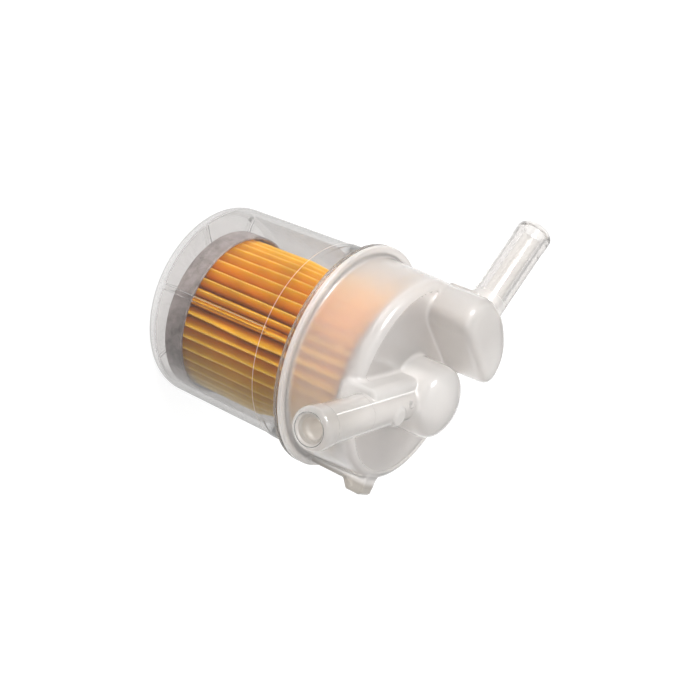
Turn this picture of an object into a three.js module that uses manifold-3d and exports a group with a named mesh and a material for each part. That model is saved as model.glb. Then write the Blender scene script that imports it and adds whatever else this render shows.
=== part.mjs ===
// A clear in-line fuel filter for a small engine: a cup-shaped bowl and a head with two hose nipples,
// welded together at a flange round a pleated paper element that sits a little off-centre.
//
// Millimetres, +Z up. The origin is the centre of the bowl's flat base, +Z runs up the case's axis, and
// the outlet nipple points along +X.

import * as THREE from 'three';
import { mergeVertices } from 'three/addons/utils/BufferGeometryUtils.js';
import Module from 'manifold-3d';

const wasm = await Module();
wasm.setup();

// ---- driving dimensions ------------------------------------------------------------------------

const FULL_TURN = 2 * Math.PI;
const GAP = 0.25;                    // clearance left between pieces that touch
const OVERRUN = 1;                   // how far a cutting shape passes the face that it cuts

// The bowl.
const BOWL_RADIUS = 23.5;            // outside, below the step
const BOWL_WALL = 1.4;
const BOWL_FLOOR = 1.8;
const BOWL_CORNER = 2.6;             // outside radius where the wall meets the base
const STEP_Z = 32.3;                 // the outside grows by STEP_HEIGHT above this level
const STEP_HEIGHT = 0.25;
const RIB_COUNT = 8;
const RIB_ANGLE = -14;               // degrees from the outlet to the first rib
const RIB_WIDTH = 1.1;
const RIB_HEIGHT = 0.3;
const RIB_TOP = 32;                  // two opposite ribs run up the wall to this level
const FLOOR_RIB_HEIGHT = 1.2;
const FLOOR_RIB_INNER = 12;

// The welded joint between the bowl and the head.
const FLANGE_RADIUS = 26;
const FLANGE_BACK = 40;              // the flange's underside
const BOWL_FLANGE = 0.9;
const HEAD_FLANGE = 1.0;
const JOINT_GAP = 0.2;

// The head.
const HEAD_ROOT_RADIUS = 23.7;       // at the flange
const HEAD_TOP_RADIUS = 22.9;        // at the end face
const HEAD_WALL = 1.2;
const HEAD_END = 57.7;               // the end face
const HEAD_END_THICKNESS = 1.8;
const HEAD_EDGE = 1.2;               // rounding of the end face's rim

// The element and the outlet share an axis that is off the case's axis.
const ELEMENT_OFFSET = 1.85;
const ELEMENT_OFFSET_ANGLE = 72.4;

// The outlet: a domed boss on the element's axis, with a nipple leaving along +X.
const BOSS_RADIUS = 8.2;
const BOSS_SHOULDER = 64.6;          // where the dome starts
const BOSS_TOP = 68.5;
const BOSS_CREASE_RADIUS = 7.1;      // the domed end starts at a soft edge
const BOSS_CREASE = 66.2;
const NIPPLE_RADIUS = 4;
const NIPPLE_BORE = 2.3;
const NIPPLE_MOUTH = 2.9;            // the bore's wide mouth
const NIPPLE_MOUTH_DEPTH = 1.0;
const BEAD_RADIUS = 4.2;
const BEAD_LENGTH = 4.2;
const BEAD_CHAMFER = 0.6;
const OUTLET_Z = 60.35;
const OUTLET_REACH = 40.8;           // from the boss's axis to the tip
const NOZZLE_RADIUS = 6;             // the spout inside that plugs into the element
const NOZZLE_BORE = 3.6;
const NOZZLE_BOTTOM = 48.9;

// The gusset that ties the outlet nipple to the end face and the side wall.
const GUSSET_REACH = 23.9;
const GUSSET_SIDE = 5.4;             // from the nipple's axis to the gusset's flat side
const GUSSET_FAR_SIDE = 2.5;
const GUSSET_TOP = 62.7;
const GUSSET_BOTTOM = 54.3;
const PEG_RADIUS = 2.2;
const PEG_PLACE = [15.2, 2.5];
const PEG_TOP = 64.7;
const PIP_RADIUS = 0.7;
const PIP_PLACE = [11.4, 0.6];
const PIP_TOP = 64.8;
const PIP_SEGMENTS = 12;

// The inlet: a raised chamber with a flat inner face, a nipple leaving it, and a pad at its root.
const CHAMBER_ANGLE = -130;
const CHAMBER_INNER = 10.7;          // from the case's axis to the chamber's flat inner face
const CHAMBER_SHORT_SIDE = 12.8;     // how far the chamber runs to each side of its middle
const CHAMBER_LONG_SIDE = 14.3;
const CHAMBER_TOP = 68;
const CHAMBER_RADIUS = 22.7;
const CHAMBER_WALL = 1.8;
const CHAMBER_EDGE = 1.3;
const INLET_ANGLE = -135;
const INLET_Z = 61.4;
const INLET_REACH = 48.5;            // from the case's axis to the tip
const INLET_RADIUS = 4.2;
const PAD_HALF_WIDTH = 4.6;
const PAD_RADIUS = 24.6;
const PAD_BOTTOM = 53.1;
const PAD_TOP = 61.1;

// The mounting rail and its stop, on the side wall.
const RAIL_ANGLE = 72.4;
const RAIL_WIDTH = 5;
const RAIL_RADIUS = 24.8;
const STOP_RADIUS = 26.7;
const STOP_BOTTOM = 52.1;
const STOP_TOP = 57.3;
const STOP_SLOPE = 1.4;              // how far the stop's lower side leans

// The element.
const CAP_SHEET = 0.7;
const LOWER_CAP_RADIUS = 19.9;
const LOWER_CAP_HEIGHT = 5.5;
const LOWER_CAP_Z = 3.8;
const UPPER_CAP_RADIUS = 19.4;
const UPPER_CAP_HEIGHT = 2.6;
const UPPER_CAP_TOP = 54.2;
const CAP_HOLE = 8.2;
const BED_THICKNESS = 1.5;
const PLEAT_COUNT = 42;
const PLEAT_TIP = 18.9;
const PLEAT_VALLEY = 13.2;
const PLEAT_BACK_TIP = 16.8;
const PLEAT_BACK_VALLEY = 11.3;
const CORE_RADIUS = 10.8;
const CORE_WALL = 0.9;
const CORE_COLUMNS = 8;
const CORE_ROWS = 5;
const CORE_WINDOW = [4.2, 5.2];      // width round the tube, height
const SEAL_INNER = 6.3;
const SEAL_NECK = 7.9;
const SEAL_LIP = 9.6;
const SEAL_LIP_THICKNESS = 1.1;

const ROUND_SEGMENTS = 60;
const TUBE_SEGMENTS = 32;
const CORNER_STEPS = 3;
const DOME_STEPS = 4;

// ---- solids ------------------------------------------------------------------------------------

const radians = (degrees) => degrees * Math.PI / 180;

function solidOf(geometry) {
  const bare = geometry.clone();
  bare.deleteAttribute('normal');
  bare.deleteAttribute('uv');
  const merged = mergeVertices(bare, 1e-4);
  const corners = merged.index.array;
  const faces = [];
  for (let i = 0; i < corners.length; i += 3) {
    const [a, b, c] = corners.subarray(i, i + 3);
    if (a !== b && b !== c && c !== a) {
      faces.push(a, b, c);
    }
  }
  const vertProperties = new Float32Array(merged.attributes.position.array);
  const triVerts = new Uint32Array(faces);
  return new wasm.Manifold(new wasm.Mesh({ numProp: 3, vertProperties, triVerts }));
}

function geometryOf(solid) {
  const mesh = solid.getMesh();
  const geometry = new THREE.BufferGeometry();
  geometry.setAttribute('position', new THREE.BufferAttribute(new Float32Array(mesh.vertProperties), 3));
  geometry.setIndex(new THREE.BufferAttribute(new Uint32Array(mesh.triVerts), 1));
  geometry.computeVertexNormals();
  return geometry;
}

// A solid of revolution about Z. The outline is [radius, height] pairs, anticlockwise.
function revolved(outline, segments = ROUND_SEGMENTS) {
  const points = outline.map(([radius, height]) => new THREE.Vector2(radius, height));
  const first = points[0];
  if (first.x > 0) {
    points.push(first.clone());
  }
  return solidOf(new THREE.LatheGeometry(points, segments).rotateX(Math.PI / 2));
}

function rod(radius, bottom, top, segments = ROUND_SEGMENTS) {
  return revolved([[0, bottom], [radius, bottom], [radius, top], [0, top]], segments);
}

function block(low, high) {
  const size = high.map((value, axis) => value - low[axis]);
  const middle = high.map((value, axis) => (value + low[axis]) / 2);
  return solidOf(new THREE.BoxGeometry(...size).translate(...middle));
}

function prism(shape, depth) {
  return solidOf(new THREE.ExtrudeGeometry(shape, { depth, bevelEnabled: false }));
}

// Quarter-round corner points, from one angle to another about a centre in an outline.
function corner(centreRadius, centreHeight, size, from, to) {
  const points = [];
  for (let step = 0; step <= CORNER_STEPS; step += 1) {
    const angle = radians(from + (to - from) * step / CORNER_STEPS);
    points.push([centreRadius + size * Math.cos(angle), centreHeight + size * Math.sin(angle)]);
  }
  return points;
}

const elementPlace = [
  ELEMENT_OFFSET * Math.cos(radians(ELEMENT_OFFSET_ANGLE)),
  ELEMENT_OFFSET * Math.sin(radians(ELEMENT_OFFSET_ANGLE)),
  0,
];

// ---- the bowl ----------------------------------------------------------------------------------

function makeBowl() {
  const flangeTop = FLANGE_BACK + BOWL_FLANGE;
  const innerRadius = BOWL_RADIUS - BOWL_WALL;
  const innerCorner = BOWL_CORNER - BOWL_WALL;
  const shell = revolved([
    [0, 0],
    ...corner(BOWL_RADIUS - BOWL_CORNER, BOWL_CORNER, BOWL_CORNER, -90, 0),
    [BOWL_RADIUS, STEP_Z],
    [BOWL_RADIUS + STEP_HEIGHT, STEP_Z + STEP_HEIGHT],
    [BOWL_RADIUS + STEP_HEIGHT, FLANGE_BACK],
    [FLANGE_RADIUS, FLANGE_BACK],
    [FLANGE_RADIUS, flangeTop],
    [innerRadius, flangeTop],
    ...corner(innerRadius - innerCorner, BOWL_FLOOR + innerCorner, innerCorner, 0, -90),
    [0, BOWL_FLOOR],
  ]);
  const ribReach = BOWL_RADIUS - BOWL_WALL / 2;
  const wallRib = block(
    [innerRadius - RIB_HEIGHT, -RIB_WIDTH / 2, BOWL_FLOOR / 2],
    [ribReach, RIB_WIDTH / 2, RIB_TOP],
  );
  const floorRib = block(
    [FLOOR_RIB_INNER, -RIB_WIDTH / 2, BOWL_FLOOR / 2],
    [ribReach, RIB_WIDTH / 2, BOWL_FLOOR + FLOOR_RIB_HEIGHT],
  );
  const envelope = rod(ribReach, BOWL_FLOOR / 2, RIB_TOP).subtract(cornerKeeper());
  let bowl = shell;
  for (let index = 0; index < RIB_COUNT; index += 1) {
    const climbs = index % (RIB_COUNT / 2) === 0;
    const rib = climbs ? floorRib.add(wallRib) : floorRib;
    bowl = bowl.add(rib.rotate([0, 0, RIB_ANGLE + index * 360 / RIB_COUNT]).intersect(envelope));
  }
  return bowl;
}

// The space outside the bowl's rounded lower corner, which the ribs must not reach.
function cornerKeeper() {
  const middle = BOWL_CORNER - BOWL_WALL / 2;
  const reach = BOWL_RADIUS - BOWL_CORNER;
  return revolved([
    [reach, 0],
    [BOWL_RADIUS, 0],
    [BOWL_RADIUS, BOWL_CORNER],
    ...corner(reach, BOWL_CORNER, middle, 0, -90),
  ]);
}

// ---- the head ----------------------------------------------------------------------------------

// A hose nipple along +X from the origin to the tip, with its bead.
function nippleBody(radius, reach) {
  const neck = reach - BEAD_LENGTH;
  return revolved([
    [0, 0],
    [radius, 0],
    [radius, neck - BEAD_CHAMFER],
    [BEAD_RADIUS, neck],
    [BEAD_RADIUS, reach - BEAD_CHAMFER],
    [BEAD_RADIUS - BEAD_CHAMFER, reach],
    [0, reach],
  ], TUBE_SEGMENTS).rotate([0, 90, 0]);
}

function nippleBore(start, reach) {
  const mouth = reach - NIPPLE_MOUTH_DEPTH;
  return revolved([
    [0, start],
    [NIPPLE_BORE, start],
    [NIPPLE_BORE, mouth],
    [NIPPLE_MOUTH, mouth + NIPPLE_MOUTH - NIPPLE_BORE],
    [NIPPLE_MOUTH, reach + OVERRUN],
    [0, reach + OVERRUN],
  ], TUBE_SEGMENTS).rotate([0, 90, 0]);
}

// A slice of a round post, flat on the side that faces the case's axis and at both ends.
function chamberSolid(inner, inset, radius, bottom, top, edge) {
  const post = revolved([
    [0, bottom],
    [radius, bottom],
    ...corner(radius - edge, top - edge, edge, 0, 90),
    [0, top],
  ]);
  const slice = block(
    [inner, inset - CHAMBER_LONG_SIDE, bottom - OVERRUN],
    [radius + OVERRUN, CHAMBER_SHORT_SIDE - inset, top + OVERRUN],
  );
  return post.intersect(slice).rotate([0, 0, CHAMBER_ANGLE]);
}

function railSolid() {
  const root = HEAD_TOP_RADIUS - HEAD_WALL / 2;
  const flangeTop = FLANGE_BACK + BOWL_FLANGE + JOINT_GAP + HEAD_FLANGE;
  const profile = new THREE.Shape([
    new THREE.Vector2(root, flangeTop - HEAD_FLANGE / 2),
    new THREE.Vector2(RAIL_RADIUS, flangeTop - HEAD_FLANGE / 2),
    new THREE.Vector2(RAIL_RADIUS, STOP_BOTTOM),
    new THREE.Vector2(STOP_RADIUS, STOP_BOTTOM + STOP_SLOPE),
    new THREE.Vector2(STOP_RADIUS, STOP_TOP - STOP_SLOPE / 2),
    new THREE.Vector2(STOP_RADIUS - STOP_SLOPE / 2, STOP_TOP),
    new THREE.Vector2(root, STOP_TOP),
  ]);
  const upright = prism(profile, RAIL_WIDTH).rotate([90, 0, 0]).translate([0, RAIL_WIDTH / 2, 0]);
  return upright.rotate([0, 0, RAIL_ANGLE]);
}

// The boss's domed end, from its soft edge to its top, as part of one sphere.
function domeOutline() {
  const rise = BOSS_TOP - BOSS_CREASE;
  const sphere = (BOSS_CREASE_RADIUS ** 2 + rise ** 2) / (2 * rise);
  const edge = Math.asin(BOSS_CREASE_RADIUS / sphere);
  const points = [];
  for (let step = 0; step < DOME_STEPS; step += 1) {
    const angle = edge * (1 - step / DOME_STEPS);
    points.push([sphere * Math.sin(angle), BOSS_TOP - sphere * (1 - Math.cos(angle))]);
  }
  points.push([0, BOSS_TOP]);
  return points;
}

function gussetSolid() {
  const [bossX, bossY] = elementPlace;
  const low = bossY - GUSSET_SIDE;
  const high = bossY + GUSSET_FAR_SIDE;
  const wallStart = HEAD_TOP_RADIUS - HEAD_WALL;
  const across = block([bossX, low, HEAD_END - HEAD_END_THICKNESS / 2], [GUSSET_REACH, high, GUSSET_TOP]);
  const down = block([wallStart, low, GUSSET_BOTTOM], [GUSSET_REACH, high, GUSSET_TOP]);
  return across.add(down);
}

function gatePip() {
  const bottom = OUTLET_Z + NIPPLE_BORE + OVERRUN;
  return rod(PIP_RADIUS, bottom, PIP_TOP, PIP_SEGMENTS).translate([...PIP_PLACE, 0]);
}

function makeHead() {
  const flangeBottom = FLANGE_BACK + BOWL_FLANGE + JOINT_GAP;
  const flangeTop = flangeBottom + HEAD_FLANGE;
  const ceiling = HEAD_END - HEAD_END_THICKNESS;
  const [bossX, bossY] = elementPlace;
  const outside = revolved([
    [0, flangeBottom],
    [FLANGE_RADIUS, flangeBottom],
    [FLANGE_RADIUS, flangeTop],
    [HEAD_ROOT_RADIUS, flangeTop],
    ...corner(HEAD_TOP_RADIUS - HEAD_EDGE, HEAD_END - HEAD_EDGE, HEAD_EDGE, 0, 90),
    [0, HEAD_END],
  ]);
  const inside = revolved([
    [0, flangeBottom - OVERRUN],
    [HEAD_ROOT_RADIUS - HEAD_WALL, flangeBottom - OVERRUN],
    [HEAD_ROOT_RADIUS - HEAD_WALL, flangeBottom],
    ...corner(HEAD_TOP_RADIUS - HEAD_WALL - HEAD_EDGE, ceiling - HEAD_EDGE, HEAD_EDGE, 0, 90),
    [0, ceiling],
  ]);
  const boss = revolved([
    [0, ceiling],
    [BOSS_RADIUS, ceiling],
    [BOSS_RADIUS, BOSS_SHOULDER],
    ...domeOutline(),
  ]);
  const nozzle = rod(NOZZLE_RADIUS, NOZZLE_BOTTOM, ceiling + OVERRUN, TUBE_SEGMENTS);
  const riser = rod(NOZZLE_BORE, NOZZLE_BOTTOM - OVERRUN, OUTLET_Z + NIPPLE_BORE, TUBE_SEGMENTS);
  const chamberFloor = ceiling - OVERRUN;
  const pad = block(
    [CHAMBER_INNER + CHAMBER_WALL, -PAD_HALF_WIDTH, PAD_BOTTOM],
    [PAD_RADIUS, PAD_HALF_WIDTH, PAD_TOP],
  );

  const chamber = chamberSolid(
    CHAMBER_INNER, 0, CHAMBER_RADIUS, ceiling, CHAMBER_TOP, CHAMBER_EDGE);
  const chamberHollow = chamberSolid(
    CHAMBER_INNER + CHAMBER_WALL, CHAMBER_WALL,
    CHAMBER_RADIUS - CHAMBER_WALL, chamberFloor, CHAMBER_TOP - CHAMBER_WALL, CHAMBER_EDGE);
  const toOutlet = (solid) => solid.translate([bossX, bossY, OUTLET_Z]);
  const toInlet = (solid) => solid.rotate([0, 0, INLET_ANGLE]).translate([0, 0, INLET_Z]);
  const inletStart = CHAMBER_RADIUS - CHAMBER_WALL / 2;
  const inletBody = nippleBody(INLET_RADIUS, INLET_REACH - inletStart).translate([inletStart, 0, 0]);

  const plumbing = boss.translate(elementPlace)
    .add(toOutlet(nippleBody(NIPPLE_RADIUS, OUTLET_REACH)))
    .add(gussetSolid())
    .add(rod(PEG_RADIUS, ceiling + OVERRUN, PEG_TOP, TUBE_SEGMENTS).translate([...PEG_PLACE, 0]))
    .add(gatePip());
  return outside
    .add(pad.rotate([0, 0, INLET_ANGLE]))
    .add(chamber)
    .add(railSolid())
    .add(plumbing)
    .subtract(inside)
    .subtract(chamberHollow)
    .add(toInlet(inletBody))
    .add(nozzle.translate(elementPlace))
    .subtract(riser.translate(elementPlace))
    .subtract(toOutlet(nippleBore(0, OUTLET_REACH)))
    .subtract(toInlet(nippleBore(CHAMBER_RADIUS - 2 * CHAMBER_WALL, INLET_REACH)));
}

// ---- the element -------------------------------------------------------------------------------

function ring(inner, outer, bottom, top, segments = ROUND_SEGMENTS) {
  return revolved([[inner, bottom], [outer, bottom], [outer, top], [inner, top]], segments);
}

// A pressed cap that is open upwards, its base at height zero.
function capDish(radius, height, hole) {
  const inside = radius - CAP_SHEET;
  return revolved([
    [hole, 0],
    ...corner(inside, CAP_SHEET, CAP_SHEET, -90, 0),
    [radius, height],
    [inside, height],
    [inside, CAP_SHEET],
    [hole, CAP_SHEET],
  ]);
}

function makeLowerCap() {
  return capDish(LOWER_CAP_RADIUS, LOWER_CAP_HEIGHT, 0).translate([0, 0, LOWER_CAP_Z]);
}

function makeUpperCap() {
  const dish = capDish(UPPER_CAP_RADIUS, UPPER_CAP_HEIGHT, CAP_HOLE);
  return dish.rotate([180, 0, 0]).translate([0, 0, UPPER_CAP_TOP]);
}

const lowerBedBottom = LOWER_CAP_Z + CAP_SHEET + GAP;
const lowerBedTop = lowerBedBottom + BED_THICKNESS;
const upperBedTop = UPPER_CAP_TOP - CAP_SHEET - GAP;
const upperBedBottom = upperBedTop - BED_THICKNESS;
const lowerBedRadius = LOWER_CAP_RADIUS - CAP_SHEET - GAP;
const upperBedRadius = UPPER_CAP_RADIUS - CAP_SHEET - GAP;
const elementBottom = lowerBedTop + GAP;
const elementTop = upperBedBottom - GAP;

function pleatOutline(tip, valley) {
  const points = [];
  for (let index = 0; index < 2 * PLEAT_COUNT; index += 1) {
    const angle = FULL_TURN * index / (2 * PLEAT_COUNT);
    const radius = index % 2 === 0 ? tip : valley;
    points.push(new THREE.Vector2(radius * Math.cos(angle), radius * Math.sin(angle)));
  }
  return points;
}

function makePaper() {
  const outline = new THREE.Shape(pleatOutline(PLEAT_TIP, PLEAT_VALLEY));
  outline.holes.push(new THREE.Path(pleatOutline(PLEAT_BACK_TIP, PLEAT_BACK_VALLEY)));
  return prism(outline, elementTop - elementBottom).translate([0, 0, elementBottom]);
}

function makeCore() {
  const tube = ring(CORE_RADIUS - CORE_WALL, CORE_RADIUS, elementBottom, elementTop);
  const [width, height] = CORE_WINDOW;
  const pitch = (elementTop - elementBottom) / CORE_ROWS;
  let core = tube;
  for (let row = 0; row < CORE_ROWS; row += 1) {
    const middle = elementBottom + pitch * (row + 1 / 2);
    const low = [CORE_RADIUS - CORE_WALL - OVERRUN, -width / 2, middle - height / 2];
    const high = [CORE_RADIUS + OVERRUN, width / 2, middle + height / 2];
    const window = block(low, high);
    for (let column = 0; column < CORE_COLUMNS; column += 1) {
      core = core.subtract(window.rotate([0, 0, 360 * column / CORE_COLUMNS]));
    }
  }
  return core;
}

// A grommet: its neck lines the upper cap's hole and its lip lies on the cap.
function makeSeal() {
  const lipBottom = UPPER_CAP_TOP + GAP;
  return revolved([
    [SEAL_INNER, upperBedBottom],
    [SEAL_NECK, upperBedBottom],
    [SEAL_NECK, lipBottom],
    [SEAL_LIP, lipBottom],
    [SEAL_LIP, lipBottom + SEAL_LIP_THICKNESS],
    [SEAL_INNER, lipBottom + SEAL_LIP_THICKNESS],
  ]);
}

// ---- materials and the assembly ----------------------------------------------------------------

const clearPlastic = new THREE.MeshStandardMaterial({
  color: 'rgb(228, 230, 226)', roughness: 0.08, opacity: 0.35, transparent: true,
});
const milkyPlastic = new THREE.MeshStandardMaterial({
  color: 'rgb(232, 226, 220)', roughness: 0.25, opacity: 0.75, transparent: true,
});
const filterPaper = new THREE.MeshStandardMaterial({ color: 'rgb(232, 163, 60)', roughness: 0.85 });
const corePlastic = new THREE.MeshStandardMaterial({ color: 'rgb(216, 212, 204)', roughness: 0.6 });
const greyCap = new THREE.MeshStandardMaterial({ color: 'rgb(133, 128, 123)', roughness: 0.7 });
const potting = new THREE.MeshStandardMaterial({ color: 'rgb(111, 90, 60)', roughness: 0.7 });
const sealRubber = new THREE.MeshStandardMaterial({ color: 'rgb(38, 38, 42)', roughness: 0.8 });

function addPiece(parent, name, solid, material) {
  const mesh = new THREE.Mesh(geometryOf(solid), material);
  mesh.name = name;
  parent.add(mesh);
}

const filter = new THREE.Group();
addPiece(filter, 'bowl', makeBowl(), clearPlastic);
addPiece(filter, 'head', makeHead(), milkyPlastic);

const element = new THREE.Group();
const lowerBed = ring(0, lowerBedRadius, lowerBedBottom, lowerBedTop);
const upperBed = ring(CAP_HOLE, upperBedRadius, upperBedBottom, upperBedTop);
element.position.set(...elementPlace);
filter.add(element);
addPiece(element, 'pleated_paper', makePaper(), filterPaper);
addPiece(element, 'core_tube', makeCore(), corePlastic);
addPiece(element, 'lower_end_cap', makeLowerCap(), greyCap);
addPiece(element, 'upper_end_cap', makeUpperCap(), greyCap);
addPiece(element, 'lower_potting_bed', lowerBed, potting);
addPiece(element, 'upper_potting_bed', upperBed, potting);
addPiece(element, 'outlet_seal', makeSeal(), sealRubber);
filter.updateMatrixWorld(true);

export default filter;
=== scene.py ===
"""A clear in-line fuel filter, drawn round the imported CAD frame.

The bowl, the caps, the seal and the hose nipples are turned outlines, the paper is a folded sheet and the
core is a grid with windows. The rest of the head is one moulding with soft corners, so it is a field of
distances that is turned into a mesh.
"""
import math

import bpy
import numpy as np
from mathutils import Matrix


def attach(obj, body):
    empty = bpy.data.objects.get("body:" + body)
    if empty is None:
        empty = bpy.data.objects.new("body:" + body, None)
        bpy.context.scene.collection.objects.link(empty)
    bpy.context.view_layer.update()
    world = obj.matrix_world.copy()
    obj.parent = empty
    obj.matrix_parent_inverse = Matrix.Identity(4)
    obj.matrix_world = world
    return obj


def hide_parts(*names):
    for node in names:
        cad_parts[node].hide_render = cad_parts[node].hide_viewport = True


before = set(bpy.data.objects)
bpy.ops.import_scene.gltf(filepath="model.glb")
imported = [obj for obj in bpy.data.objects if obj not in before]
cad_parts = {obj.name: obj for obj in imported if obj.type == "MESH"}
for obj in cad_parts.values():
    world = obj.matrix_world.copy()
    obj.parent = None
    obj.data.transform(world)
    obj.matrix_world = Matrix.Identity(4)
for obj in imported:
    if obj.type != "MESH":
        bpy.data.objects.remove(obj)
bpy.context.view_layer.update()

import openvdb
from mathutils import Matrix, Vector

MM = 0.001
FULL_TURN = 2 * math.pi

# ---- dimensions, in millimetres, as on the CAD part ----------------------------------------------

BOWL_RADIUS = 23.5
BOWL_WALL = 1.4
BOWL_FLOOR = 1.8
BOWL_CORNER = 2.6
BOWL_RIM = 0.35                # rounding of the flange's edges
STEP_Z = 32.3
STEP_HEIGHT = 0.25
LEDGE_RISE = 0.1               # height of the step's slope
STEP_BAND = 0.12               # height of the matte band on each side of the slope
RIB_COUNT = 8
RIB_ANGLE = -14
RIB_WIDTH = 1.1
RIB_HEIGHT = 0.3
RIB_SLOPE = 0.28               # width of the slope on each side of a rib
RIB_HALF_ARC = 0.054           # half the angle that a rib's closer steps span
RIB_CLEARING = 0.062           # half the angle that is kept clear of even steps
RIB_STEPS = 19
BOWL_STEPS = 216
RIB_TOP = 32.2
FLOOR_RIB_HEIGHT = 1.1
FLOOR_RIB_INNER = 12

FLANGE_RADIUS = 26
FLANGE_BACK = 40
BOWL_FLANGE = 0.9
HEAD_FLANGE = 1.0
JOINT_GAP = 0.2
WELD_LINE = 0.03               # what is left open of the joint once it is welded

HEAD_ROOT_RADIUS = 23.7
HEAD_TOP_RADIUS = 22.9
HEAD_WALL = 1.2
HEAD_END = 57.7
HEAD_END_THICKNESS = 1.8
HEAD_EDGE = 1.2

ELEMENT_OFFSET = 1.85
ELEMENT_OFFSET_ANGLE = 72.4
BOSS_RADIUS = 8.2
BOSS_SHOULDER = 64.6
BOSS_TOP = 68.5
BOSS_CREASE_RADIUS = 7.1
BOSS_CREASE = 66.2
NIPPLE_RADIUS = 4
NIPPLE_BORE = 2.3
NIPPLE_MOUTH = 2.9
NIPPLE_MOUTH_DEPTH = 1.0
BEAD_RADIUS = 4.3
BEAD_ROUNDING = 1.1
MOUTH_ROUNDING = 0.45
BEAD_LENGTH = 4.2
BEAD_CHAMFER = 0.6
OUTLET_Z = 60.35
OUTLET_REACH = 40.8
NOZZLE_RADIUS = 6
NOZZLE_BORE = 3.6
NOZZLE_BOTTOM = 48.9

GUSSET_REACH = 23.9
GUSSET_SIDE = 5.4
GUSSET_FAR_SIDE = 2.5
GUSSET_TOP = 62.7
GUSSET_BOTTOM = 54.3
PEG_RADIUS = 2.2
PEG_PLACE = (15.2, 2.5)
PEG_TOP = 64.7
PIP_RADIUS = 0.7
PIP_PLACE = (11.4, 0.6)
PIP_TOP = 64.8
OUTLET_JOIN = 24.5             # where the head's body hands over to the turned nipple
INLET_JOIN = 23.1
SEAM_ANGLE = 142.5             # round the outlet, from its +Y side
SEAM_RADIUS = 0.13

CHAMBER_ANGLE = -130
CHAMBER_INNER = 10.7
CHAMBER_SHORT_SIDE = 12.8
CHAMBER_LONG_SIDE = 14.3
CHAMBER_TOP = 68
CHAMBER_RADIUS = 22.7
CHAMBER_WALL = 1.8
CHAMBER_EDGE = 1.3
CHAMBER_CORNER = 2.4           # rounding of the chamber's upright edges
INLET_ANGLE = -135
INLET_Z = 61.4
INLET_REACH = 48.38
INLET_RADIUS = 4.2
PAD_HALF_WIDTH = 4.6
PAD_RADIUS = 24.6
PAD_BOTTOM = 53.1
PAD_TOP = 61.1

RAIL_ANGLE = 72.4
RAIL_WIDTH = 5
RAIL_RADIUS = 24.8
STOP_RADIUS = 26.7
STOP_BOTTOM = 52.1
STOP_TOP = 57.3
STOP_SLOPE = 1.4
STOP_ROUNDING = 0.2

CAP_SHEET = 0.7
LOWER_CAP_RADIUS = 19.9
LOWER_CAP_HEIGHT = 5.5
LOWER_CAP_Z = 3.8
UPPER_CAP_RADIUS = 19.4
UPPER_CAP_HEIGHT = 2.6
UPPER_CAP_TOP = 54.2
CAP_HOLE = 8.2
BED_THICKNESS = 1.5
GAP = 0.25
PLEAT_COUNT = 42
PLEAT_TIP = 18.9
PLEAT_VALLEY = 13.2
PAPER = 0.45                   # the paper's thickness
LIT_SIDE = -95                 # the side of the paper, in degrees, where the painted glow is strongest and the painted side shade weakest
CREST = 0.28                   # how deep the painted highlight along a pleat's folded edge reaches
FOLD_SHARE = 0.07              # how much of a flat its rounded fold takes
FOLD_POINTS = 5
PLEAT_WOBBLE = 0.11
WAVES = 4
PAPER_ROWS = 28
PAPER_SEED = 4
CORE_RADIUS = 10.8
CORE_WALL = 0.9
CORE_COLUMNS = 8
CORE_ROWS = 5
CORE_WINDOW = (4.2, 5.2)
SEAL_INNER = 6.3
SEAL_NECK = 7.9
SEAL_LIP = 9.6
SEAL_LIP_THICKNESS = 1.1

ELEMENT_X = ELEMENT_OFFSET * math.cos(math.radians(ELEMENT_OFFSET_ANGLE))
ELEMENT_Y = ELEMENT_OFFSET * math.sin(math.radians(ELEMENT_OFFSET_ANGLE))
LOWER_BED = LOWER_CAP_Z + CAP_SHEET + GAP
PAPER_BOTTOM = LOWER_BED + BED_THICKNESS + GAP
UPPER_BED_TOP = UPPER_CAP_TOP - CAP_SHEET - GAP
UPPER_BED = UPPER_BED_TOP - BED_THICKNESS
PAPER_TOP = UPPER_BED - GAP
HEAD_BOTTOM = FLANGE_BACK + BOWL_FLANGE + JOINT_GAP
CEILING = HEAD_END - HEAD_END_THICKNESS


# ---- meshes --------------------------------------------------------------------------------------

def shown(name, points, faces, materials, stands_for, smooth_angle=35):
    """A piece from points in millimetres, smooth except where faces meet at more than smooth_angle."""
    mesh = bpy.data.meshes.new(name)
    mesh.from_pydata((np.asarray(points) * MM).tolist(), [], [list(f) for f in faces])
    mesh.validate()
    mesh.shade_smooth()
    mesh.set_sharp_from_angle(angle=math.radians(smooth_angle))
    piece = bpy.data.objects.new(name, mesh)
    bpy.context.scene.collection.objects.link(piece)
    for material in materials:
        mesh.materials.append(material)
    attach(piece, "root")
    if stands_for:
        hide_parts(stands_for)
    return piece


def turned(outline, angles, shift=None):
    """Points and faces of a closed outline of [radius, height] turned about Z. An outline that starts and
    ends on the axis gets poles; shift(angle, index, radius, height) moves a point of the outline."""
    points, faces = [], []
    rows = []
    count = len(angles)
    for index, (radius, height) in enumerate(outline):
        if radius < 1e-9:
            rows.append([len(points)] * count)
            points.append((0, 0, height))
            continue
        row = []
        for angle in angles:
            r, z = (radius, height) if shift is None else shift(angle, index, radius, height)
            row.append(len(points))
            points.append((r * math.cos(angle), r * math.sin(angle), z))
        rows.append(row)
    pairs = list(zip(rows, rows[1:]))
    if outline[0][0] > 1e-9:
        pairs.append((rows[-1], rows[0]))
    for low, high in pairs:
        for i in range(count):
            j = (i + 1) % count
            corners = [low[i], low[j], high[j], high[i]]
            corners = [c for k, c in enumerate(corners) if c not in corners[:k]]
            if len(corners) > 2:
                faces.append(corners)
    return points, faces


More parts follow.
